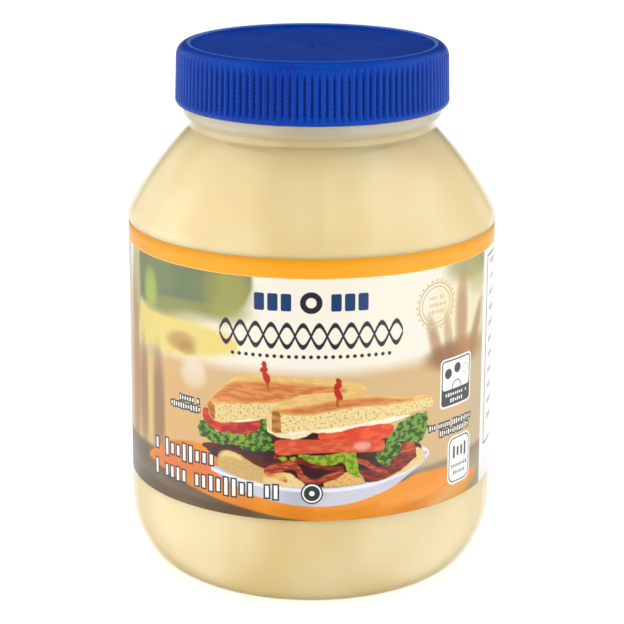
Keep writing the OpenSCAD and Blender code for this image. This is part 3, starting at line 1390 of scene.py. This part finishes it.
    def lower_half(self) -> tuple[Patch, ...]:
        """Shaded inside of the sandwich, its lower bread and its bacon.

        Returns:
            The patches, from the back to the front, as from the next three methods.
        """
        return (
            Patch([(-29.5, 18.6), (-20, 19.6), (-8, 19.4), (10, 19.2), (24, 20.4), (29.5, 18.8), (31, 17)],
                  [(-29.5, 17.4), (-24, 14.5), (-12, 10.6), (0, 9.3), (14, 9.8), (24, 11.2), (31, 14.6)],
                  INKS.dark, INKS.plum, Grain.FLESH, Edge.UNEVEN, 0.3),
            Patch([(-30, 18.2), (-25, 19.2), (-20, 18.4), (-16, 17.8), (-9, 17)],
                  [(-30, 17.4), (-24, 16.4), (-18, 15.4), (-14, 14.6), (-9, 14)],
                  INKS.bacon_deep, INKS.plum, Grain.STREAK, Edge.UNEVEN, 0.3),
            Patch([(-25.2, 14.8), (-23.6, 17.4), (-21.5, 17.6), (-18, 16.5), (-15, 14.8), (-9.5, 13.4)],
                  [(-25.2, 12.8), (-22, 11.4), (-14, 10.0), (-9.5, 9.7)],
                  INKS.crumb_shade, INKS.seed, Grain.CRUMB, Edge.UNEVEN, 0.25),
            Patch([(-24, 16.4), (-22, 17.4), (-18.4, 16.2)], [(-24, 15.6), (-22, 16), (-18.4, 15.4)],
                  INKS.crumb_glow, soft=0.5),
            Patch([(20.5, 11), (24.5, 13.2), (27, 16.4), (29.3, 17.6), (31.4, 16.2), (32.4, 13.8)],
                  [(20.5, 10.4), (26, 11.4), (32.4, 13.6)],
                  INKS.crumb, INKS.gold, Grain.CRUMB, Edge.UNEVEN, 0.2),
            Patch([(12.5, 13.5), (18, 13.4), (22, 15.8), (25, 18.8), (28.6, 19.2), (29.2, 16.4),
                   (29.4, 15)],
                  [(12.5, 10.6), (17, 9.9), (22, 11), (26, 12.8), (28, 14.2), (29.4, 14.8)],
                  INKS.bacon_deep, INKS.bacon, Grain.STREAK, Edge.UNEVEN, 0.25),
            Patch([(22.5, 17), (25, 19.4), (28.4, 19.2), (28.8, 17)],
                  [(22.5, 15.4), (25, 16.8), (27, 16), (28.8, 16)],
                  INKS.bacon_light, INKS.bacon, Grain.STREAK, Edge.UNEVEN, 0.3),
            Patch([(11.6, 16.8), (14, 16.4), (17, 14.2), (20.5, 12.8)],
                  [(11.6, 15.8), (14, 14.8), (17, 12.8), (20.5, 11.8)],
                  INKS.bacon, INKS.bacon_light, Grain.STREAK, Edge.UNEVEN, 0.25),
            Patch([(-12.2, 12), (-9, 13), (-6, 13), (-4, 12), (-1.6, 10.4)],
                  [(-12.2, 10), (-7, 9.4), (-1.6, 9.2)],
                  INKS.crumb, INKS.gold, Grain.CRUMB, Edge.UNEVEN, 0.2),
            Patch([(-12.2, 12.4), (-9, 13.2), (-6.4, 12.4), (-6, 11)],
                  [(-12.2, 11.2), (-9, 11.4), (-6.4, 10.6), (-6, 10.4)],
                  INKS.gold, INKS.toast, Grain.TOAST, Edge.UNEVEN, 0.3),
            Patch([(3.6, 10.4), (6.5, 12.4), (9, 13.2), (12, 12.8), (14.2, 10.6)],
                  [(3.6, 9.4), (9, 9.5), (14.2, 9.9)], INKS.gold, INKS.seed, Grain.CRUMB, Edge.UNEVEN, 0.2),
            Patch([(-9.4, 17.8), (-4, 17.4), (1, 16), (8.5, 14.6)],
                  [(-9.4, 16.2), (-4, 16), (1, 14.6), (8.5, 13.4)],
                  INKS.bacon, INKS.bacon_deep, Grain.STREAK, Edge.UNEVEN, 0.25),
            Patch([(-12, 14), (-8, 15.8), (-5, 16.4), (-3, 15.4), (-1.5, 12.8), (1, 11.6), (4, 12.6),
                   (8.6, 14)],
                  [(-12, 12.6), (-8, 13), (-5.4, 14), (-4, 13.6), (-2.4, 11), (0, 10.2), (4, 10.6),
                   (8.6, 12.8)], INKS.bacon, INKS.bacon_light, Grain.STREAK, Edge.UNEVEN, 0.25),
        )

    def salad(self) -> tuple[Patch, ...]:
        """Lettuce and tomato, from the back of the sandwich to its front."""
        return (
            Patch([(-24, 26.4), (-17, 27.4), (-10, 29)], [(-24, 25), (-18, 25.6), (-10, 26.8)],
                  INKS.spread, INKS.crumb, Grain.FLESH, soft=0.3),
            Patch([(-29.8, 27.6), (-28.6, 28.3), (-27, 26.4), (-22, 25.6), (-16, 26.4), (-11, 27.8)],
                  [(-29.8, 26.6), (-28.5, 24), (-25, 22.6), (-19, 22.0), (-11, 22.6)],
                  INKS.tomato_deep, INKS.tomato, Grain.FLESH, soft=0.25),
            Patch([(-31.2, 24.2), (-29, 24.4), (-26, 22.8), (-22, 22.4), (-18, 22.8), (-15, 23.4),
                   (-13.5, 25.4), (-11.5, 27.8), (-10, 25), (-8, 23.3)],
                  [(-31.2, 22.4), (-29, 19.8), (-25, 19.2), (-20, 19.8), (-17, 18.5), (-14, 18.2),
                   (-11, 18.7), (-8, 20.5)],
                  INKS.lettuce, INKS.lettuce_light, Grain.LEAF, Edge.RUFFLED, 0.2),
            Patch([(-22, 22.2), (-20, 22.6), (-16.5, 21.8)], [(-22, 20.6), (-20, 20), (-16.5, 20.4)],
                  INKS.lime_leaf, INKS.lettuce, Grain.LEAF, Edge.RUFFLED, 0.3, 0.8),
            Patch([(-8.4, 17.8), (-6, 18), (-3.6, 17.4)], [(-8.4, 17), (-6, 16.6), (-3.6, 16.8)],
                  INKS.lime_leaf, INKS.dark, Grain.LEAF, Edge.RUFFLED, 0.3),
            Patch([(-3, 18.4), (2, 18), (8, 18.6), (11.5, 18.8), (14, 16.6), (14.4, 13), (13.4, 11.6)],
                  [(-3, 17.6), (1, 15.9), (5, 15.2), (8.4, 15.6), (10, 12.8), (11.5, 12), (13.4, 11.3)],
                  INKS.lime_leaf, INKS.lime_shade, Grain.LEAF, Edge.UNEVEN, 0.2),
            Patch([(17.4, 20.4), (20, 21.8), (23, 21), (24.4, 19)],
                  [(17.4, 16), (20, 13.9), (22.5, 15.4), (24.4, 18)],
                  INKS.lettuce, INKS.lettuce_light, Grain.LEAF, Edge.RUFFLED, 0.2),
            Patch([(19, 20.5), (22, 23.8), (24.5, 25.4), (27.5, 26.6), (31, 26.8), (33, 24.8)],
                  [(19, 19), (23, 20.4), (26.5, 19.4), (29.5, 18.8), (33, 22.8)],
                  INKS.lettuce_light, INKS.lettuce, Grain.LEAF, Edge.RUFFLED, 0.2),
            Patch([(-10, 24), (0, 24.6), (8, 24), (20, 22.6)], [(-10, 21), (0, 21), (12, 20.4), (20, 20)],
                  INKS.dark, INKS.bacon_deep, Grain.FLESH, soft=0.3),
            Patch([(2, 24.2), (8, 25.2), (12, 26), (14.5, 26.6), (18, 26), (21, 25.3), (22.3, 24.4)],
                  [(2, 22.8), (4, 21.8), (12, 21.4), (18, 21.2), (21, 22.2), (22.3, 23.8)],
                  INKS.tomato, INKS.tomato_bright, Grain.FLESH, soft=0.2),
            Patch([(-9.3, 21.4), (-7, 22.2), (2, 22.3), (10, 21.7), (18.5, 21.2), (19.6, 20.5)],
                  [(-9.3, 18.8), (-8, 17.9), (-3, 18.4), (6, 18.7), (14, 18.3), (18.5, 18.2), (19.6, 18.8)],
                  INKS.tomato_side, INKS.tomato_light, Grain.FLESH, soft=0.2),
            Patch([(11.6, 20.8), (13.4, 21.2), (15.4, 20.8)], [(11.6, 19.6), (13.4, 18.9), (15.4, 19.4)],
                  INKS.tomato_glint, soft=0.7, strength=0.7),
        )

    def back_slice(self) -> tuple[Patch, ...]:
        """Upper bread of the half behind: toasted top, paler border and cut side."""
        return (
            Patch([(-28.2, 29.5), (-27.3, 31.6), (-24.5, 34.2), (-21.5, 37.0), (-18.5, 38.5), (-11, 39.2),
                   (-2, 39.1), (5, 38.6), (11, 37.6), (14.4, 36)],
                  [(-28.2, 29.2), (-26.8, 25.4), (-25.5, 25.0), (-17, 26.8), (-9.5, 28.5), (0, 31),
                   (14.4, 33)], INKS.bread_top, INKS.gold, Grain.TOAST, Edge.UNEVEN, 0.25),
            Patch([(-27, 31.2), (-24, 34), (-20.5, 36.4), (-16, 37.2), (-8, 37.4), (2, 37), (9, 35.8)],
                  [(-27, 30.6), (-20, 30.9), (-10, 32.2), (-2, 33.8), (9, 35)],
                  INKS.toast, INKS.toast_light, Grain.TOAST, Edge.UNEVEN, 0.7),
            Patch([(-27.6, 29.8), (-22, 30.4), (-14, 31.3), (-6, 32.6), (2, 34)],
                  [(-27.6, 29.0), (-26.4, 25.8), (-25.5, 25.2), (-17, 27), (-9.5, 28.7), (2, 31)],
                  INKS.crumb, INKS.seed, Grain.CRUMB, Edge.UNEVEN, 0.2),
            Patch([(-28.3, 29.4), (-27.6, 30.2), (-26.2, 29.6)], [(-28.3, 29), (-27.2, 26), (-26.2, 25.4)],
                  INKS.toast, INKS.crust, Grain.TOAST, Edge.UNEVEN, 0.4),
        )

    def front_slice(self) -> tuple[Patch, ...]:
        """Spread and upper bread of the half in front: toasted top, crust end and cut side."""
        return (
            Patch([(-11.3, 25.6), (-9, 25), (-3, 25), (6, 26.2), (16, 27), (27, 27.4)],
                  [(-11.3, 24.8), (-9.5, 23.3), (-5, 22.5), (-1.5, 23.1), (1, 24.2), (5, 24.2), (9, 24.7),
                   (13, 25.5), (20, 25.6), (27, 26.8)],
                  INKS.spread, INKS.spread_shade, Grain.FLESH, Edge.UNEVEN, 0.2),
            Patch([(-11.3, 28.8), (-9.5, 30.8), (-6.0, 32.8), (-2, 34.4), (4, 35), (10, 34.6), (18, 33.3),
                   (26, 32), (33.5, 31.2), (34.8, 30)],
                  [(-11.3, 26), (-10.3, 24.2), (-8.5, 23.7), (-5, 24.3), (2, 25.1), (10, 26), (20, 27),
                   (30, 27.3), (34.8, 27.8)], INKS.bread_front, INKS.gold, Grain.TOAST, Edge.UNEVEN, 0.2),
            Patch([(-9.2, 29.7), (-4, 30.8), (2, 31.9), (8, 32.9), (15, 33), (22, 32), (28, 31.2)],
                  [(-9.2, 29.3), (-2, 29.1), (4, 29.9), (10, 30.8), (18, 30.8), (28, 30.9)],
                  INKS.toast, INKS.toast_front, Grain.TOAST, Edge.UNEVEN, 0.6),
            Patch([(-8.4, 29.0), (0, 28.9), (5, 29.8), (12, 30.6), (24, 30.3), (34.5, 30.6)],
                  [(-8.4, 23.9), (-5, 24.4), (2, 25.2), (10, 26.1), (20, 27.1), (34.5, 27.9)],
                  INKS.crumb_light, INKS.seed, Grain.CRUMB, Edge.UNEVEN, 0.18),
            Patch([(-11.2, 28.4), (-10, 29.7), (-7.8, 29)], [(-11.2, 26.4), (-10.2, 24.5), (-7.8, 24)],
                  INKS.crust_light, INKS.crust, Grain.TOAST, Edge.UNEVEN, 0.25),
            Patch([(-11.3, 28.6), (-10.6, 29.3), (-10.2, 29.2)],
                  [(-11.3, 26.2), (-10.7, 24.6), (-10.2, 24.4)], INKS.crust_edge, soft=0.3),
        )

    def flags(self) -> None:
        """Two frilled cocktail sticks."""
        for x, z, lean in ((-11.7, 39.2, 8), (7.0, 35, -2)):
            slant = math.sin(math.radians(lean))
            self.oval(x + 4 * slant, z - 2.6, 0.35, 1.4, INKS.crust, lean, 0.3)
            frills = ((-0.6, 0.1, 0.95, 1.7), (1.5, -0.2, 1.15, 0.9), (3.0, 0.1, 0.7, 1.0))
            for up, side, wide, high in frills:
                at = (x + side - slant * up, z + up)
                self.oval(*at, wide, high, INKS.flag, 25, 0.2, 1.0, Edge.UNEVEN)

    def title_marks(self) -> None:
        """Navy tiles to both sides of a charcoal ring, a braid and a dotted line."""
        for x in (-13.4, -9.9, -6.4, 6.4, 9.9, 13.4):
            self.box(x, 58.8, 1.35, 2.3, INKS.navy, 0.5)
        self.ring(0, 58.8, 2.1, 0.75, INKS.charcoal)
        self.braid(0, 50.0, 24.6, 8.2, 2.9, 0.55, INKS.charcoal)
        self.dots(0, 44.5, 21.6, 1.88, 0.5, INKS.charcoal)

    def braid(
        self, x: float, z: float, half: float, period: float, swing: float, thick: float, ink: Colour,
    ) -> None:
        """Paints two crossing waves: where the height's size is within thick of a sine's size.

        Args:
            x: Centre along the film.
            z: Centre up the film.
            half: Half its length.
            period: Length of one wave.
            swing: Height of a wave over its middle.
            thick: Half the thickness of the line.
            ink: Its colour.
        """
        wave = abs(((self.clean.x - x) * (2 * math.pi / period)).sine()) * swing
        line = abs(abs(self.clean.z - z) - wave).step(thick + 0.3, thick - 0.05)
        self.lay(line * abs(self.clean.x - x).step(half, half - 0.2), ink)

    def seal(self) -> None:
        """Round seal: two thin rings, three rows of strokes and a beaded edge."""
        x, z = 35.3, 55.2
        for radius, half in ((5.9, 0.22), (4.9, 0.16)):
            self.ring(x, z, radius, half, INKS.seal)
        for up, half in ((1.9, 2.6), (0.0, 4.0), (-1.9, 2.6)):
            self.strokes(x, z + up, half, 0.55, 0.9, INKS.seal)
        beads, edge = 24, 6.6
        for turn in range(beads):
            angle = turn * 2 * math.pi / beads
            self.oval(x + edge * math.cos(angle), z + edge * math.sin(angle), 0.3, 0.3, INKS.seal, 0, 0.3)

    def badges(self) -> None:
        """Two white badges with dark outlines, and a note between them."""
        x, z = 43.9, 32.8
        for up, wide, high, ink, corner in (
            (0.0, 6.7, 6.8, INKS.white, 1.4),
            (0.0, 6.2, 6.3, INKS.slate, 1.1),
            (2.0, 5.8, 3.9, INKS.white, 0.8),
        ):
            self.box(x, z + up, wide, high, ink, corner)
        for side, up in ((-3.6, 2.6), (0.2, 3.6)):
            self.oval(x + side, z + up, 1.4, 1.4, INKS.slate)
        self.ring(x + 3.9, z + 2.6, 1.2, 0.14, INKS.silver)
        self.ring(x, z - 1.6, 1.9, 0.16, INKS.slate)
        for up, half in ((-3.3, 4.4), (-5.0, 3.0)):
            self.strokes(x, z + up, half, 0.55, 0.95, INKS.white)
        for z_note, half, x_note in ((21.6, 8.8, 42.2), (19.4, 6.8, 43.6)):
            self.strokes(x_note, z_note, half, 0.75, 0.8, INKS.white, 0.5, 0.1, INKS.slate)
        x, z = 45.9, 10.7
        for inset, ink, corner in ((0.0, INKS.white, 2.4), (0.5, INKS.slate, 2.1), (0.85, INKS.white, 1.9)):
            self.box(x, z, 5.2 - inset, 6.8 - inset, ink, corner)
        self.strokes(x, z + 2.2, 3.4, 2.1, 1.7, INKS.slate, 0.5)
        for up, half in ((-1.7, 3.4), (-3.7, 2.8)):
            self.strokes(x, z + up, half, 0.6, 0.95, INKS.slate)

    def contents_marks(self) -> None:
        """Rows of plain strokes at the lower left, a small one above them and a ring mark."""
        for z_note, half in ((29.4, 3.7), (27.2, 5.2)):
            self.strokes(-30.8 - half, z_note, half, 0.75, 0.9, INKS.white, 0.5, 0.1, INKS.slate)
        for x, z, wide, high in ((-37.6, 14.2, 12.4, 2.3), (-28.6, 7.6, 21.6, 2.5)):
            self.strokes(x, z, wide, high, 2.3, INKS.white, 0.42, 0.12, INKS.charcoal)
        for radius, ink, soft in (
            (2.9, INKS.slate, 0.04), (2.5, INKS.white, 0.04), (2.1, INKS.slate, 0.05), (0.7, INKS.white, 0.1),
        ):
            self.oval(0.4, 7.6, radius, radius, ink, 0, soft)


class Stripe(Artwork):
    """Orange band along the upper edge, all the way round."""

    def __init__(self, film: FilmSheet) -> None:
        """Paints an even orange with a pale hairline under it."""
        super().__init__("print_stripe", film, INKS.stripe)
        self.lay(self.clean.z.step(film.stripe_low + 0.25, film.stripe_low), INKS.hairline)


class BackPanel(Artwork):
    """White back of the label: ruled table, lines of small strokes and a panel with a ring."""

    def __init__(self, film: FilmSheet) -> None:
        """Paints the panel."""
        super().__init__("print_back", film, INKS.paper)
        self.table_box(61.4, 100.0)
        self.paragraph(125.0, 21.0, (60, 57, 54, 51, 48, 45))
        self.paragraph(125.0, 21.0, (36, 33, 30, 27, 24))
        self.paragraph(-112.0, 24.0, (60, 57, 54, 51))
        self.panel(-112.0, 26.0, 28.0, 16.0)

    def table_box(self, near: float, far: float) -> None:
        """Outlined box with ruled rows of strokes.

        Args:
            near: Its left side, along the film.
            far: Its right side.
        """
        middle, half = (near + far) / 2, (far - near) / 2
        centre, row_h, rows = 36.5, 4.4, 11
        gap = self.box_gap(middle, centre, half, 26.5, 0.3)
        self.lay(abs(gap).step(0.3, 0.2), INKS.charcoal)
        rules = (self.clean.z - centre).saw(row_h).step(0.18, 0.1) * gap.step(-0.6, -0.7)
        self.lay(rules, INKS.slate)
        for row in range(rows):
            z = centre + (row - rows / 2 + 1) * row_h
            self.strokes(middle - 3, z, half - 6, 0.75, 0.95, INKS.charcoal)

    def paragraph(self, x: float, half: float, lines: Sequence[float]) -> None:
        """Lines of small strokes, the last one shorter."""
        for z in lines:
            short = 0.6 if z == lines[-1] else 1.0
            self.strokes(x - half * (1 - short), z, half * short, 0.7, 0.95, INKS.slate)

    def panel(self, x: float, z: float, wide: float, high: float) -> None:
        """Outlined panel in the cream of the front with a plain ring in it."""
        self.box(x, z, wide, high, INKS.hairline, 2.0)
        self.box(x, z, wide - 0.5, high - 0.5, INKS.pale_cream, 1.7)
        self.ring(x, z, 8.0, 0.5, INKS.orange)
        self.ring(x, z, 5.5, 0.3, INKS.navy)


class FilmInside(Artwork):
    """Unprinted inside of the film, with the faint mottling of its adhesive."""

    def __init__(self, film: FilmSheet) -> None:
        """Paints the inside."""
        super().__init__("film_inside", film, INKS.adhesive)
        self.lay(self.pattern(Grain.BLUR), INKS.adhesive_shade)


@dataclass
class Label:
    """The film with its prints."""

    film: FilmSheet
    gloss: FilmGloss = field(default_factory=FilmGloss)

    def build(self) -> bpy.types.Object:
        """Prints the film, wraps it round the body and dresses it."""
        prints = (FrontPicture(self.film), Stripe(self.film), BackPanel(self.film), FilmInside(self.film))
        sheet = self.film.build([art.finish(self.gloss) for art in prints])
        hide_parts("label")
        return sheet


# ---------------------------------------------------------------- studio


@dataclass(frozen=True)
class SoftBox:
    """A rectangular lamp that faces the jar and isn't mirrored in it."""

    name: str
    place: tuple[float, float, float]
    size: tuple[float, float]
    power: float


@dataclass
class Studio:
    """Pale floor, soft lamps, surroundings and the camera. Lengths are in metres."""

    boxes: tuple[SoftBox, ...] = (
        SoftBox("left_box", (-0.9, -0.5, 0.4), (0.6, 0.9), 2.8),
        SoftBox("right_box", (0.9, -0.5, 0.4), (0.6, 0.9), 2.6),
        SoftBox("front_box", (0.0, -1.2, 0.7), (1.2, 0.6), 1.4),
        SoftBox("top_box", (0.0, 0.1, 1.2), (1.0, 1.0), 4.4),
    )
    aim: tuple[float, float, float] = (0.0, 0.0, 0.07)
    floor_size: float = 30.0
    floor_colour: Colour = srgb(244, 244, 244)
    floor_shade: Colour = srgb(242, 242, 242)
    floor_glow: float = 0.65
    ambient: float = 0.4
    mirrored_front: float = 0.02
    mirrored_left: float = 1.5
    mirrored_right: float = 1.5
    mirrored_rear: float = 0.5
    mirrored_back: float = 0.03
    lens: float = 126.8
    eye: tuple[float, float, float] = (0.0002, -0.5846, 0.2354)
    pitch: float = 15.84
    roll: float = 0.28

    def floor(self) -> None:
        """Wide pale floor, lit a little from below like a light table, that is mirrored by nothing."""
        half = self.floor_size / 2
        corners = np.array([[-half, -half, 0], [half, -half, 0], [half, half, 0], [-half, half, 0]])
        ground = mesh_object("floor", corners / MM, [[0, 1, 2, 3]])
        board = MaterialBoard("floor_paper")
        tooth = board.noise(board.millimetres(), 0.8, 2.0)
        colour = board.mix(tooth.step(0.3, 0.7), self.floor_colour, self.floor_shade)
        paper = board.node("ShaderNodeBsdfDiffuse", None, {"Color": colour})
        glow = {"Color": self.floor_colour, "Strength": self.floor_glow}
        light = board.node("ShaderNodeEmission", None, glow)
        both = board.node("ShaderNodeAddShader", None, {0: paper, 1: light})
        ground.data.materials.append(board.surface(both))
        ground.visible_glossy = False

    def lamps(self) -> None:
        """One area lamp for each soft box."""
        for box in self.boxes:
            lamp = bpy.data.lights.new(box.name, "AREA")
            lamp.shape = "RECTANGLE"
            lamp.size, lamp.size_y = box.size
            lamp.energy = box.power
            made = bpy.data.objects.new(box.name, lamp)
            made.location = box.place
            made.rotation_euler = (Vector(box.place) - Vector(self.aim)).to_track_quat("Z", "Y").to_euler()
            made.visible_glossy = False
            bpy.context.scene.collection.objects.link(made)

    def surroundings(self) -> None:
        """Even light all round, which the jar mirrors as bright sides and a dark front.

        The mirrored level rises where the direction's X is large, from the front level to the left or
        right level. A share of that is left towards the rear. Straight behind the jar it is the back
        level above the table and full below it.
        """
        world = bpy.data.worlds.new("surroundings")
        world.use_nodes = True
        bpy.context.scene.world = world
        board = Board(world.node_tree)
        way = board.node("ShaderNodeTexCoord", None, None, "Generated")
        x = board.node("ShaderNodeSeparateXYZ", None, {0: way})
        y, z = x.other("Y"), x.other("Z")
        side = x.step(-0.2, 0.2, self.mirrored_left, self.mirrored_right)
        side = side * y.step(0.2, 0.6, 1.0, self.mirrored_rear) * abs(x).step(0.32, 0.62)
        behind = z.step(0.1, -0.1, self.mirrored_back, 1.0) * y.step(0.55, 0.85)
        mirrored = side.most(behind) + self.mirrored_front
        rays = board.node("ShaderNodeLightPath", None, None, "Is Glossy Ray")
        level = mirrored * rays + (1 - rays) * self.ambient
        level = level.most(rays.other("Is Camera Ray"))
        back = board.node("ShaderNodeBackground", None, {"Color": srgb(255, 255, 255), "Strength": level})
        board.node("ShaderNodeOutputWorld", None, {"Surface": back})

    def camera(self) -> None:
        """Camera in front of the label, a little above and looking down."""
        lens = bpy.data.cameras.new("camera")
        lens.lens = self.lens
        made = bpy.data.objects.new("camera", lens)
        tilt = Euler((math.radians(90 - self.pitch), 0, 0)).to_matrix()
        made.matrix_world = (
            Matrix.Translation(self.eye) @ (tilt @ Matrix.Rotation(math.radians(self.roll), 3, "Z")).to_4x4())
        bpy.context.scene.collection.objects.link(made)
        bpy.context.scene.camera = made

    def build(self) -> None:
        """Sets up everything that isn't the jar."""
        self.floor()
        self.lamps()
        self.surroundings()
        self.camera()
        bpy.context.scene.view_settings.view_transform = "Standard"


# ---------------------------------------------------------------- main


def node_span(node: str) -> tuple[float, float, float]:
    """Radius, foot and top of a CAD node in millimetres."""
    low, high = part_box(node)
    return max(high[0], high[1]) / MM, low[2] / MM, high[2] / MM


def main() -> None:
    """Builds the jar and its studio."""
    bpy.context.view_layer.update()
    body_r, _, lip = node_span("jar")
    _, label_low, label_high = node_span("label")
    _, _, level = node_span("mayonnaise")
    lid_r, lid_foot, lid_top = node_span("lid")
    shape = Bottle(body_r, label_low, label_high, lip)
    parts = (
        ClearWall(shape), Filling(shape, level), RibbedLid(lid_r, lid_foot, lid_top), Label(FilmSheet(shape)),
    )
    for part in parts:
        piece = part.build()
        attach(piece, BODY)
        log.info("%s: %d faces", piece.name, len(piece.data.polygons))
    Studio().build()


if __name__ == "__main__":
    main()
